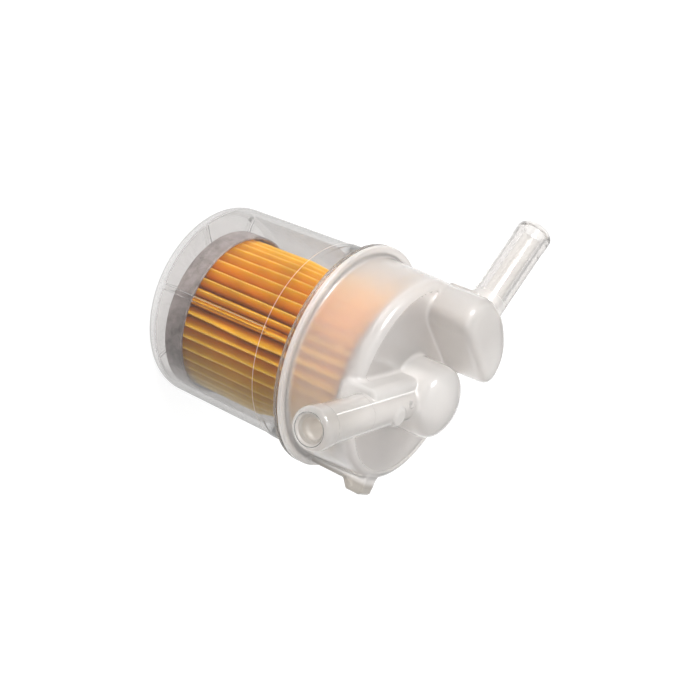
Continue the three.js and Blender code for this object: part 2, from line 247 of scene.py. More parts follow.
def add_value(piece, name, values):
    """A number at each point that the piece's material reads by name."""
    made = piece.data.attributes.new(name, "FLOAT", "POINT")
    made.data.foreach_set("value", np.asarray(values, np.float32))


def even_angles(count):
    return [FULL_TURN * i / count for i in range(count)]


def arc(centre_radius, centre_height, size, start, end, steps=6):
    """Points of a rounded corner, from angle start to angle end in degrees."""
    made = []
    for step in range(steps + 1):
        a = math.radians(start + (end - start) * step / steps)
        made.append((centre_radius + size * math.cos(a), centre_height + size * math.sin(a)))
    return made


def guarded(outline, guard=0.12, longest=3.0):
    """The outline with its long edges cut up, and a point close to each end so that shading stays flat."""
    made = []
    for (r0, z0), (r1, z1) in zip(outline, outline[1:]):
        length = math.hypot(r1 - r0, z1 - z0)
        made.append((r0, z0))
        if length < 6 * guard:
            continue
        steps = max(1, math.ceil(length / longest))
        places = [guard / length, *[k / steps for k in range(1, steps)], 1 - guard / length]
        made += [(r0 + (r1 - r0) * t, z0 + (z1 - z0) * t) for t in places]
    return made + [outline[-1]]


def moved(points, x, y, z=0):
    return np.asarray(points, float) + np.array([x, y, z])


# ---- materials -----------------------------------------------------------------------------------

class Nodes:
    """A material's node tree, built a line at a time."""

    def __init__(self, name):
        self.material = bpy.data.materials.new(name)
        self.material.use_nodes = True
        self.tree = self.material.node_tree
        self.tree.nodes.clear()
        self.output = self.tree.nodes.new("ShaderNodeOutputMaterial")

    def add(self, kind, settings=None, **inputs):
        node = self.tree.nodes.new("ShaderNode" + kind)
        for key, value in (settings or {}).items():
            setattr(node, key, value)
        for key, value in inputs.items():
            socket = node.inputs[key.replace("_", " ")] if isinstance(key, str) else node.inputs[key]
            if isinstance(value, bpy.types.NodeSocket):
                self.tree.links.new(value, socket)
            else:
                socket.default_value = value
        return node

    def link(self, source, node, index):
        self.tree.links.new(source, node.inputs[index])

    def ramp(self, factor, stops):
        node = self.add("ValToRGB", Fac=factor)
        elements = node.color_ramp.elements
        while len(elements) < len(stops):
            elements.new(0.5)
        for element, (place, color) in zip(elements, stops):
            element.position = place
            element.color = color
        return node.outputs["Color"]

    def noise(self, scale, detail=3.0, rough=0.5, stretch=None):
        place = self.add("TexCoord").outputs["Object"]
        if stretch:
            place = self.add("Mapping", Vector=place, Scale=stretch).outputs["Vector"]
        return self.add("TexNoise", Vector=place, Scale=scale, Detail=detail, Roughness=rough).outputs["Fac"]

    def between(self, value, low, high):
        node = self.add("MapRange", Value=value)
        node.inputs["To Min"].default_value = low
        node.inputs["To Max"].default_value = high
        return node.outputs["Result"]

    def value(self, name):
        """A number that add_value has put on the piece's points."""
        return self.add("Attribute", {"attribute_name": name}).outputs["Fac"]

    def times(self, color, by):
        mix = self.add("Mix", {"data_type": "RGBA", "blend_type": "MULTIPLY"}, Factor=1.0)
        self.link(color, mix, 6)
        self.link(by, mix, 7)
        return mix.outputs[2]

    def bump(self, height, strength, distance):
        return self.add("Bump", Height=height, Strength=strength, Distance=distance * MM).outputs["Normal"]

    def rimmed(self, color, normal, rim, start=0.6, full=0.97):
        """The colour, darkened to rim where the surface is seen edge on: a painted dark edge, like the dark
        edges of glass.
        """
        facing = self.add("LayerWeight", Blend=0.5, Normal=normal).outputs["Facing"]
        share = self.add("MapRange", Value=facing)
        share.inputs["From Min"].default_value = start
        share.inputs["From Max"].default_value = full
        mix = self.add("Mix", {"data_type": "RGBA"}, Factor=share.outputs["Result"])
        self.link(color, mix, 6)
        mix.inputs[7].default_value = rim
        return mix.outputs[2]

    def lets_lamps_through(self, surface, shade):
        """Plastic that lamps and the sky shine straight through, tinted by shade, to what is inside."""
        ray = self.add("LightPath")
        through = self.add("BsdfTransparent", Color=shade)
        mix = self.add("MixShader", Fac=ray.outputs["Is Shadow Ray"])
        self.link(surface, mix, 1)
        self.link(through.outputs[0], mix, 2)
        self.finish(mix.outputs[0])

    def absorbs(self, color, density):
        volume = self.add("VolumeAbsorption", Color=color, Density=density)
        self.tree.links.new(volume.outputs[0], self.output.inputs["Volume"])

    def finish(self, surface):
        self.tree.links.new(surface, self.output.inputs["Surface"])


def grey(value):
    return (value, value, value, 1)


def clear_plastic():
    n = Nodes("clear_plastic")
    tone = n.ramp(n.noise(60), [(0.35, (0.765, 0.75, 0.74, 1)), (0.65, (0.825, 0.81, 0.80, 1))])
    rough = n.between(n.noise(220, 4), 0.01, 0.05)
    normal = n.bump(n.noise(40, 1), 0.04, 0.05)
    glass = n.add("BsdfPrincipled", Base_Color=tone, Roughness=rough, Normal=normal, IOR=1.33)
    glass.inputs["Transmission Weight"].default_value = 1
    # painted dark edges: a dull grey takes over where the bowl is seen edge on
    edge = n.add("BsdfDiffuse", Color=(0.3, 0.3, 0.29, 1))
    facing = n.add("LayerWeight", Blend=0.5, Normal=normal).outputs["Facing"]
    share = n.add("MapRange", Value=facing)
    share.inputs["From Min"].default_value = 0.5
    share.inputs["From Max"].default_value = 0.95
    share.inputs["To Max"].default_value = 0.62
    both = n.add("MixShader", Fac=share.outputs["Result"])
    n.link(glass.outputs[0], both, 1)
    n.link(edge.outputs[0], both, 2)
    n.lets_lamps_through(both.outputs[0], (1, 1, 1, 1))
    n.absorbs((0.43, 0.41, 0.40, 1), 80)
    return n.material


def frosted_line():
    """The matte ledge that the mould's parting line leaves on the bowl."""
    n = Nodes("frosted_line")
    tone = n.ramp(n.noise(300), [(0.3, (0.82, 0.70, 0.62, 1)), (0.7, (0.92, 0.82, 0.75, 1))])
    body = n.add("BsdfPrincipled", Base_Color=tone, Roughness=0.3, IOR=1.47)
    body.inputs["Transmission Weight"].default_value = 0.65
    n.lets_lamps_through(body.outputs[0], (0.9, 0.9, 0.9, 1))
    return n.material


def milky_plastic():
    """Milky where the moulding is thick and see-through where it is thin."""
    n = Nodes("milky_plastic")
    thick = n.value("thick")
    tube = n.value("clear")
    tone = n.ramp(n.noise(45), [(0.35, (0.77, 0.745, 0.725, 1)), (0.65, (0.83, 0.81, 0.79, 1))])
    blur = n.between(tube, 0.42, 0.14)
    grain = n.between(n.noise(150, 4), 0.85, 1.15)
    rough = n.add("Math", {"operation": "MULTIPLY"})
    n.link(blur, rough, 0)
    n.link(grain, rough, 1)
    normal = n.bump(n.noise(60, 2), 0.05, 0.05)
    haze = n.between(thick, 0.92, 0.6)
    clear = n.add("Mix", Factor=tube)
    n.link(haze, clear, 2)
    clear.inputs[3].default_value = 0.93
    # painted shade: where dim is set, on the stop and inside the outlet's bore, the plastic is painted dark
    dim = n.value("dim")
    painted_shade_tone = n.add("Mix", {"data_type": "RGBA"}, Factor=dim)
    n.link(tone, painted_shade_tone, 6)
    painted_shade_tone.inputs[7].default_value = (0.42, 0.39, 0.35, 1)
    # painted dark edges where the head is seen edge on
    tone = n.rimmed(painted_shade_tone.outputs[2], normal, (0.55, 0.53, 0.51, 1), 0.75, 1.0)
    body = n.add("BsdfPrincipled", Base_Color=tone, Roughness=rough.outputs[0], Normal=normal, IOR=1.42)
    n.link(clear.outputs[0], body, "Transmission Weight")
    body.inputs["Coat Weight"].default_value = 0.8
    body.inputs["Coat Roughness"].default_value = 0.07
    n.lets_lamps_through(body.outputs[0], (0.97, 0.96, 0.95, 1))
    n.absorbs((0.45, 0.42, 0.39, 1), 40)
    return n.material


def filter_paper():
    n = Nodes("filter_paper")
    fibre = n.noise(900, 6, 0.7, (1, 1, 0.35))
    patch = n.noise(140, 3)
    tone = n.ramp(fibre, [(0.3, (0.97, 0.6, 0.02, 1)), (0.7, (0.98, 0.7, 0.035, 1))])
    dark = n.ramp(patch, [(0.35, (0.86, 0.84, 0.8, 1)), (0.65, (1, 1, 1, 1))])
    fold = n.value("fold")
    # painted highlight: the folded edge of each pleat is painted pale yellow
    painted_crest_highlight = n.add("Mix", {"data_type": "RGBA"}, Factor=fold)
    n.link(tone, painted_crest_highlight, 6)
    painted_crest_highlight.inputs[7].default_value = (1, 0.92, 0.55, 1)
    deep = n.value("deep")
    # painted shade: the paper is painted darker and redder down in the valleys between pleats
    shade = n.ramp(deep, [(0.0, (1, 1, 1, 1)), (0.45, (0.95, 0.72, 0.8, 1)), (1.0, (0.4, 0.16, 0.3, 1))])
    shaded = n.times(painted_crest_highlight.outputs[2], shade)
    # painted glow: the paper gives off orange light of its own, strongest at the crests and none in the
    # valleys
    glow = n.ramp(deep, [(0.0, (1, 0.62, 0.01, 1)), (0.5, (0.8, 0.36, 0.005, 1)), (1.0, (0, 0, 0, 1))])
    lit = n.value("lit")
    # painted shade: the side of the paper away from LIT_SIDE is painted darker and bluer
    painted_side_shade = n.ramp(lit, [(0.1, (0.78, 0.84, 0.95, 1)), (0.5, (1, 1, 1, 1))])
    tint = n.times(n.times(shaded, painted_side_shade), dark)
    rough = n.between(fibre, 0.75, 0.95)
    normal = n.bump(fibre, 0.35, 0.2)
    sheet = n.add("BsdfPrincipled", Base_Color=tint, Roughness=rough, Normal=normal)
    sheet.inputs["Specular IOR Level"].default_value = 0.15
    # the painted glow is strongest on the side that faces LIT_SIDE
    n.link(glow, sheet, "Emission Color")
    n.link(n.between(lit, 0.02, 0.24), sheet, "Emission Strength")
    lit_through = n.add("BsdfTranslucent", Color=tint, Normal=normal)
    both = n.add("MixShader", Fac=0.35)
    n.link(sheet.outputs[0], both, 1)
    n.link(lit_through.outputs[0], both, 2)
    n.finish(both.outputs[0])
    return n.material


def speckled(name, low, high, scale, roughness, depth):
    """A dull surface whose tone runs from low to high in fine specks and broad patches."""
    n = Nodes(name)
    speck = n.noise(scale, 5, 0.65)
    patch = n.noise(scale / 6, 2)
    both = n.add("Math", {"operation": "ADD"})
    n.link(speck, both, 0)
    n.link(patch, both, 1)
    half = n.add("Math", {"operation": "MULTIPLY"})
    n.link(both.outputs[0], half, 0)
    half.inputs[1].default_value = 0.5
    tone = n.ramp(half.outputs[0], [(0.35, (*low, 1)), (0.65, (*high, 1))])
    rough = n.between(speck, *roughness)
    body = n.add("BsdfPrincipled", Base_Color=tone, Roughness=rough, Normal=n.bump(speck, 0.3, depth))
    n.finish(body.outputs[0])
    return n.material


CLEAR = clear_plastic()
FROSTED = frosted_line()
MILKY = milky_plastic()
SEAM_PLASTIC = speckled("seam_plastic", (0.66, 0.64, 0.62), (0.78, 0.76, 0.74), 200, (0.35, 0.5), 0.05)
PAPER_SHEET = filter_paper()
GREY_CAP = speckled("grey_cap", (0.062, 0.05, 0.05), (0.41, 0.365, 0.355), 420, (0.35, 0.6), 0.12)
POTTING = speckled("potting", (0.42, 0.24, 0.09), (0.6, 0.38, 0.16), 300, (0.35, 0.6), 0.3)
CORE_PLASTIC = speckled("core_plastic", (0.55, 0.5, 0.42), (0.68, 0.63, 0.55), 250, (0.4, 0.6), 0.1)
RUBBER = speckled("seal_rubber", (0.012, 0.012, 0.014), (0.03, 0.03, 0.033), 400, (0.55, 0.8), 0.1)


# ---- the bowl ------------------------------------------------------------------------------------

def rib_height(angle, radius):
    """How much of a rib's full height stands at this angle, and whether that rib climbs the wall."""
    pitch = FULL_TURN / RIB_COUNT
    turn = (angle - math.radians(RIB_ANGLE)) / pitch
    index = round(turn)
    away = abs(turn - index) * pitch * radius
    share = min(1, max(0, (RIB_WIDTH / 2 + RIB_SLOPE / 2 - away) / RIB_SLOPE))
    return share * share * (3 - 2 * share), index % (RIB_COUNT // 2) == 0


def bowl_angles():
    """Even steps round the bowl, with closer ones over each rib."""
    made = set(round(a, 6) for a in even_angles(BOWL_STEPS))
    pitch = FULL_TURN / RIB_COUNT
    for index in range(RIB_COUNT):
        middle = math.radians(RIB_ANGLE) + index * pitch
        made = {a for a in made if abs((a - middle + math.pi) % FULL_TURN - math.pi) > RIB_CLEARING}
        for offset in np.linspace(-RIB_HALF_ARC, RIB_HALF_ARC, RIB_STEPS):
            made.add(round((middle + float(offset)) % FULL_TURN, 6))
    return sorted(made)


def make_bowl():
    flange_top = HEAD_BOTTOM - WELD_LINE
    inner = BOWL_RADIUS - BOWL_WALL
    inner_corner = BOWL_CORNER - BOWL_WALL
    outer = BOWL_RADIUS + STEP_HEIGHT
    outside = [
        (0, 0),
        *arc(BOWL_RADIUS - BOWL_CORNER, BOWL_CORNER, BOWL_CORNER, -90, 0, 18),
        (BOWL_RADIUS, STEP_Z - STEP_BAND),
        (BOWL_RADIUS, STEP_Z),
        (outer, STEP_Z + LEDGE_RISE),
        (outer, STEP_Z + LEDGE_RISE + STEP_BAND),
        *arc(outer + 0.5, FLANGE_BACK - 0.5, 0.5, 180, 90, 5),
        *arc(FLANGE_RADIUS - BOWL_RIM, FLANGE_BACK + BOWL_RIM, BOWL_RIM, -90, 0, 4),
        *arc(FLANGE_RADIUS - 0.1, flange_top - 0.1, 0.1, 0, 90, 2),
        *arc(inner + 0.3, flange_top - 0.3, 0.3, 90, 180, 3),
    ]
    inside = [
        (inner, RIB_TOP + 0.15),
        (inner, RIB_TOP),
        *arc(inner - inner_corner, BOWL_FLOOR + inner_corner, inner_corner, 0, -90, 14),
        (FLOOR_RIB_INNER + 0.3, BOWL_FLOOR),
        (FLOOR_RIB_INNER, BOWL_FLOOR),
        (0, BOWL_FLOOR),
    ]
    outside = guarded(outside)
    outline = outside + guarded(inside)

    def shift(angle, index, radius, height):
        if index < len(outside) or height > RIB_TOP + 0.01 or radius < FLOOR_RIB_INNER + 0.01:
            return radius, height
        share, climbs = rib_height(angle, radius)
        if height <= BOWL_FLOOR + FLOOR_RIB_HEIGHT:
            height += share * (BOWL_FLOOR + FLOOR_RIB_HEIGHT - height)
        if climbs:
            radius = min(radius, inner - share * RIB_HEIGHT)
        return radius, height

    points, faces = turned(outline, bowl_angles(), shift)
    bowl = shown("bowl_shell", points, faces, [CLEAR, FROSTED], "bowl", 50)
    for face in bowl.data.polygons:
        radius = math.hypot(face.center.x, face.center.y)
        on_ledge = abs(face.center.z - (STEP_Z + LEDGE_RISE / 2) * MM) < (LEDGE_RISE / 2 + STEP_BAND) * MM
        if on_ledge and radius > (BOWL_RADIUS - BOWL_WALL / 2) * MM:
            face.material_index = 1
    return bowl


# ---- the head: distances to each shape, joined and cut with soft corners ---------------------------

CELL = 0.3                     # spacing of the field that the head's mesh is taken from
MARGIN = 1.5
SEAM_OVERLAP = 0.05            # how far a turned nipple reaches back into the body
WALL_CLEARNESS = 0.45
CLEAR_BAND = 7                 # the height over which the wall turns milky
OUTLET_CLEARNESS = 0.22
OUTLET_MILKINESS = 0.5
# how much painted shade darkens the inside of the outlet's bore
BORE_DIMNESS = 0.85
PROBE_DEPTH = 1.5              # how far under the surface the plastic's thickness is felt
NIPPLE_FADE = 6                # the length over which a nipple turns from milky to clear


def head_grid():
    low = np.array([-38.5, -38.5, HEAD_BOTTOM - MARGIN])
    high = np.array([ELEMENT_X + OUTLET_REACH + MARGIN, 28.5, BOSS_TOP + MARGIN])
    counts = np.ceil((high - low) / CELL).astype(int) + 1
    axes = [low[k] + CELL * np.arange(counts[k], dtype=np.float32) for k in range(3)]
    x, y, z = np.meshgrid(*axes, indexing="ij", sparse=True)
    return low, x.astype(np.float32), y.astype(np.float32), z.astype(np.float32)


def joined(a, b, soft=0.0):
    if not soft:
        return np.minimum(a, b)
    h = np.maximum(soft - np.abs(a - b), 0) / soft
    return np.minimum(a, b) - h * h * soft / 4


def cut(a, b, soft=0.0):
    return -joined(-a, b, soft)


def met(a, b, soft=0.0):
    return -joined(-a, -b, soft)


def slab(value, low, high):
    return np.maximum(low - value, value - high)


def outline_field(r, z, corners, radius=0.0):
    """Distance to a polygon of (r, z) corners, its corners rounded by radius."""
    inside = np.zeros(np.broadcast(r, z).shape, bool)
    nearest = np.full(np.broadcast(r, z).shape, 1e9, np.float32)
    for (r0, z0), (r1, z1) in zip(corners, corners[1:] + corners[:1]):
        er, ez = r1 - r0, z1 - z0
        t = np.clip(((r - r0) * er + (z - z0) * ez) / (er * er + ez * ez), 0, 1)
        nearest = np.minimum(nearest, (r - r0 - t * er) ** 2 + (z - z0 - t * ez) ** 2)
        if ez:
            crosses = ((z0 > z) != (z1 > z)) & (r < er * (z - z0) / ez + r0)
            inside ^= crosses
    distance = np.sqrt(nearest)
    return np.where(inside, -distance, distance) - radius


def rotated(x, y, degrees):
    """The same places along and across a direction."""
    c, s = math.cos(math.radians(degrees)), math.sin(math.radians(degrees))
    return x * c + y * s, y * c - x * s


def tapered_case(r, z, bottom, top, root, end, edge):
    """A cup of revolution that narrows from root to end, its far rim rounded by edge."""
    slope = (root - end) / (top - bottom)
    side = (r - (root - (z - bottom) * slope)) / math.hypot(1, slope)
    return met(met(side, z - top, 2 * edge), bottom - z)


def bore(along, away, start, reach):
    return np.maximum(away - NIPPLE_BORE, slab(along, start, reach + MARGIN))


def head_field(x, y, z):
    r = np.sqrt(x * x + y * y)
    ex, ey = x - ELEMENT_X, y - ELEMENT_Y
    er = np.sqrt(ex * ex + ey * ey)
    flange_top = HEAD_BOTTOM + HEAD_FLANGE

    case = tapered_case(r, z, HEAD_BOTTOM, HEAD_END, HEAD_ROOT_RADIUS, HEAD_TOP_RADIUS, HEAD_EDGE)
    flange = met(r - FLANGE_RADIUS, slab(z, HEAD_BOTTOM, flange_top), 0.3)
    solid = joined(case, flange, 1.1)

    # The end face is a shallow dish inside a raised rim.
    dish = np.maximum(r - (HEAD_TOP_RADIUS - 2.2), (HEAD_END - 0.35) - z)
    solid = cut(solid, dish, 0.7)

    crease = BOSS_TOP - BOSS_CREASE
    sphere = (BOSS_CREASE_RADIUS ** 2 + crease ** 2) / (2 * crease)
    dome = np.sqrt(er * er + (z - (BOSS_TOP - sphere)) ** 2) - sphere
    lean = (BOSS_RADIUS - BOSS_CREASE_RADIUS) / (BOSS_CREASE - BOSS_SHOULDER)
    shoulder = (er - BOSS_RADIUS + (z - BOSS_SHOULDER) * lean) / math.hypot(1, lean)
    post = met(met(er - BOSS_RADIUS, shoulder, 0.8), CEILING - z)
    boss = met(post, dome, 0.35)

    out_away = np.sqrt(ey * ey + (z - OUTLET_Z) ** 2)
    outlet = np.maximum(out_away - NIPPLE_RADIUS, slab(ex, 0, OUTLET_JOIN))
    gusset = met(slab(ey, -GUSSET_SIDE, GUSSET_FAR_SIDE), slab(z, GUSSET_BOTTOM, GUSSET_TOP), 2.2)
    gusset = met(gusset, slab(x, 0, GUSSET_REACH), 1.0)
    peg_away = np.sqrt((x - PEG_PLACE[0]) ** 2 + (y - PEG_PLACE[1]) ** 2)
    peg = met(peg_away - PEG_RADIUS, slab(z, CEILING, PEG_TOP), 0.9)
    pip_away = np.sqrt((x - PIP_PLACE[0]) ** 2 + (y - PIP_PLACE[1]) ** 2)
    pip = met(pip_away - PIP_RADIUS, slab(z, OUTLET_Z + NIPPLE_BORE + 0.5, PIP_TOP), 0.5)
    plumbing = joined(boss, outlet, 0.8)
    plumbing = joined(plumbing, gusset, 0.25)
    plumbing = joined(joined(plumbing, peg, 0.3), pip, 0.3)

    cx, cy = rotated(x, y, CHAMBER_ANGLE)

    def chamber_block(inset, bottom, corner, edge):
        sides = slab(cy, inset - CHAMBER_LONG_SIDE, CHAMBER_SHORT_SIDE - inset)
        plan = met(CHAMBER_INNER + inset - cx, sides, 2 * corner)
        plan = met(plan, r - CHAMBER_RADIUS + inset, 2 * corner)
        return met(plan, slab(z, bottom, CHAMBER_TOP - inset), 2 * edge)

    chamber = chamber_block(0, CEILING, CHAMBER_CORNER, CHAMBER_EDGE)
    hollow = chamber_block(CHAMBER_WALL, CEILING - 1, CHAMBER_CORNER - 1, 0.5)

    ix, iy = rotated(x, y, INLET_ANGLE)
    pad = slab(ix, CHAMBER_INNER + CHAMBER_WALL, PAD_RADIUS)
    pad = np.maximum(pad, slab(iy, -PAD_HALF_WIDTH, PAD_HALF_WIDTH))
    pad = met(pad, slab(z, PAD_BOTTOM, PAD_TOP), 0.8)

    ax, ay = rotated(x, y, RAIL_ANGLE)
    root = HEAD_TOP_RADIUS - HEAD_WALL / 2
    rail = np.maximum(slab(ax, root, RAIL_RADIUS), slab(z, flange_top - 0.5, STOP_TOP))
    stop = outline_field(ax, z, [
        (root, STOP_BOTTOM),
        (RAIL_RADIUS, STOP_BOTTOM),
        (STOP_RADIUS - STOP_ROUNDING, STOP_BOTTOM + STOP_SLOPE),
        (STOP_RADIUS - STOP_ROUNDING, STOP_TOP - STOP_SLOPE / 2),
        (STOP_RADIUS - STOP_SLOPE / 2, STOP_TOP - STOP_ROUNDING),
        (root, STOP_TOP - STOP_ROUNDING),
    ], STOP_ROUNDING)
    guide = met(joined(rail, stop, 0.3), np.abs(ay) - RAIL_WIDTH / 2, 0.6)

    solid = joined(solid, plumbing, 1.0)
    solid = joined(solid, chamber, 0.9)
    solid = joined(solid, pad, 0.6)
    solid = joined(solid, guide, 0.7)

    cup = tapered_case(r, z, HEAD_BOTTOM - 4, CEILING, HEAD_ROOT_RADIUS - HEAD_WALL,
                       HEAD_TOP_RADIUS - HEAD_WALL, HEAD_EDGE)
    solid = cut(solid, joined(cup, hollow), 0.3)

    in_away = np.sqrt(iy * iy + (z - INLET_Z) ** 2)
    inlet_start = CHAMBER_RADIUS - CHAMBER_WALL / 2
    inlet = np.maximum(in_away - INLET_RADIUS, slab(ix, inlet_start, INLET_JOIN))
    solid = joined(solid, inlet, 0.7)
    nozzle = np.maximum(er - NOZZLE_RADIUS, slab(z, NOZZLE_BOTTOM, CEILING + 1))
    solid = joined(solid, nozzle, 0.5)

    riser = np.maximum(er - NOZZLE_BORE, slab(z, NOZZLE_BOTTOM - 1, OUTLET_Z + NIPPLE_BORE))
    solid = cut(solid, joined(riser, bore(ex, out_away, 0, OUTLET_REACH), 0.4), 0.25)
    return cut(solid, bore(ix, in_away, CHAMBER_RADIUS - 2 * CHAMBER_WALL, INLET_REACH), 0.25)


def steepest(points, reach=0.02):
    """The field at the points and the way that it grows there."""
    x, y, z = points.T
    here = head_field(x, y, z)
    grow = np.stack([
        head_field(x + reach, y, z) - head_field(x - reach, y, z),
        head_field(x, y + reach, z) - head_field(x, y - reach, z),
        head_field(x, y, z + reach) - head_field(x, y, z - reach),
    ], 1) / (2 * reach)
    return here, grow


def turned_nipple(radius, start, reach):
    """Points and faces of a hose nipple that leaves along Z, with its bead, its bore and its wider mouth."""
    neck = reach - BEAD_LENGTH
    mouth = reach - NIPPLE_MOUTH_DEPTH
    outline = [
        (radius, start),
        (radius, neck),
        (BEAD_RADIUS, neck + BEAD_CHAMFER),
        *arc(BEAD_RADIUS - BEAD_ROUNDING, reach - BEAD_ROUNDING, BEAD_ROUNDING, 0, 90, 8),
        *arc(NIPPLE_MOUTH + MOUTH_ROUNDING, reach - MOUTH_ROUNDING, MOUTH_ROUNDING, 90, 180, 5),
        (NIPPLE_MOUTH, mouth + MOUTH_ROUNDING),
        (NIPPLE_BORE, mouth),
        (NIPPLE_BORE, start),
    ]
    points, faces = turned(guarded(outline), even_angles(96))
    return np.array(points), faces


def vertex_normals(points, faces):
    """Each point's normal: the mean of its faces, which are all quads."""
    corners = points[np.array(faces)]
    flat = np.cross(corners[:, 2] - corners[:, 0], corners[:, 3] - corners[:, 1])
    made = np.zeros_like(points)
    for k in range(4):
        np.add.at(made, np.array(faces)[:, k], flat)
    return made / np.linalg.norm(made, axis=1)[:, None]


def head_body():
    """Points, quads and normals of the moulding without its two hose nipples."""
    low, x, y, z = head_grid()
    field = head_field(x, y, z).astype(np.float32)
    limit = 3 * CELL
    grid = openvdb.FloatGrid(limit)
    grid.copyFromArray(np.clip(field, -limit, limit))
    points, quads = grid.convertToQuads(isovalue=0)
    points = points.astype(float) * CELL + low
    for _ in range(2):
        here, grow = steepest(points)
        length = np.maximum((grow ** 2).sum(1), 0.25)
        step = np.clip(here / length, -CELL / 3, CELL / 3)
        points -= grow * step[:, None]
    _, grow = steepest(points, 0.06)
    normals = grow / np.maximum(np.linalg.norm(grow, axis=1), 1e-6)[:, None]
    a, b, c = (points[quads[:, k]] for k in range(3))
    if (np.cross(b - a, c - a) * normals[quads[:, 0]]).sum() < 0:
        quads = quads[:, ::-1]
    return points, quads, normals


def milkiness(behind):
    """From the field at PROBE_DEPTH under a surface: zero at a thin wall, one where the plastic is solid."""
    return np.clip((0.3 - behind) / 1.2, 0, 1)


def thickness(points, normals):
    return milkiness(head_field(*(points - normals * PROBE_DEPTH).T))


def make_head():
    points, quads, normals = head_body()
    thick = thickness(points, normals)
    radial = np.hypot(points[:, 0], points[:, 1])
    on_flange = (radial > HEAD_ROOT_RADIUS + 0.8) & (points[:, 2] < HEAD_BOTTOM + HEAD_FLANGE + 0.3)
    thick = np.maximum(thick, on_flange)
    on_wall = np.clip(1 - np.abs(radial - HEAD_ROOT_RADIUS) / 1.5, 0, 1)
    clear = WALL_CLEARNESS * np.clip((HEAD_END - CLEAR_BAND - points[:, 2]) / CLEAR_BAND, 0, 1) * on_wall
    # dim: painted shade on the stop and the rail beside it
    along, across = rotated(points[:, 0], points[:, 1], RAIL_ANGLE)
    on_stop = np.clip((along - HEAD_ROOT_RADIUS) / 0.8, 0, 1) * (np.abs(across) < RAIL_WIDTH)
    dim = on_stop * (points[:, 2] > HEAD_BOTTOM + 2 * HEAD_FLANGE)

    parts = [(points, quads, normals, thick, clear, dim)]
    x_way, y_way, z_way = np.eye(3)
    turn = math.radians(INLET_ANGLE)
    inlet_way = np.array([math.cos(turn), math.sin(turn), 0])
    inlet_side = np.array([-math.sin(turn), math.cos(turn), 0])
    nipples = [
        (NIPPLE_RADIUS, OUTLET_JOIN, OUTLET_REACH, (y_way, z_way, x_way), (ELEMENT_X, ELEMENT_Y, OUTLET_Z),
         OUTLET_MILKINESS, OUTLET_CLEARNESS, BORE_DIMNESS),
        (INLET_RADIUS, INLET_JOIN, INLET_REACH, (inlet_side, z_way, inlet_way), (0, 0, INLET_Z), 0, 1, 0),
    ]
    for radius, start, reach, ways, place, thick_share, clearness, dimness in nipples:
        local, faces = turned_nipple(radius, start - SEAM_OVERLAP, reach)
        turned_points = local @ np.array(ways) + np.array(place)
        # points inside the bore get painted shade
        in_bore = np.hypot(local[:, 0], local[:, 1]) < NIPPLE_MOUTH - 0.01
        fade = np.clip((local[:, 2] - start) / NIPPLE_FADE, 0, 1)
        at_join = milkiness(NIPPLE_BORE + PROBE_DEPTH - radius)
        parts.append((turned_points, np.array(faces), vertex_normals(turned_points, faces),
                      at_join + (thick_share - at_join) * fade, clearness * fade, dimness * in_bore * fade))

    offsets = np.cumsum([0] + [len(part[0]) for part in parts])
    all_faces = np.vstack([part[1] + offset for part, offset in zip(parts, offsets)])
    points, _, normals, thick, clear, dim = (np.concatenate([p[k] for p in parts]) for k in range(6))
    head = shown("head_moulding", points, all_faces, [MILKY], "head", 180)
    for name, values in (("thick", thick), ("clear", clear), ("dim", dim)):
        add_value(head, name, values)
    head.data.normals_split_custom_set_from_vertices(normals.tolist())
    return head


def make_seam():
    """The mould's parting line, a thin bead along the outlet nipple."""
    turn = math.radians(SEAM_ANGLE)
    sides = 12
    start, end = BOSS_RADIUS - 1, OUTLET_REACH - BEAD_LENGTH
    outline = guarded([(0, start), (SEAM_RADIUS, start), (SEAM_RADIUS, end), (0, end)])
    points, faces = turned(outline, even_angles(sides))
    across = np.array(points)
    placed = np.stack([
        ELEMENT_X + across[:, 2],
        ELEMENT_Y + NIPPLE_RADIUS * math.cos(turn) + across[:, 0],
        OUTLET_Z + NIPPLE_RADIUS * math.sin(turn) + across[:, 1],
    ], 1)
    return shown("outlet_seam", placed, faces, [SEAM_PLASTIC], None, 60)


# ---- the element ---------------------------------------------------------------------------------

def pleat_path():
    """Plan of the pleated sheet: for each fold, five points round it and two on the flat that follows."""
    corners = []
    for index in range(2 * PLEAT_COUNT):
        angle = math.pi * index / PLEAT_COUNT
        radius = PLEAT_VALLEY if index % 2 else PLEAT_TIP - PAPER / 2
        corners.append(np.array([radius * math.cos(angle), radius * math.sin(angle)]))
    path = []
    for before, here, after in zip(corners[-1:] + corners[:-1], corners, corners[1:] + corners[:1]):
        start = here + (before - here) * FOLD_SHARE
        end = here + (after - here) * FOLD_SHARE
        for t in np.linspace(0, 1, FOLD_POINTS):
            path.append((1 - t) ** 2 * start + 2 * t * (1 - t) * here + t * t * end)
        path.append(here + (after - here) / 3)
        path.append(here + (after - here) * 2 / 3)
    return np.array(path)


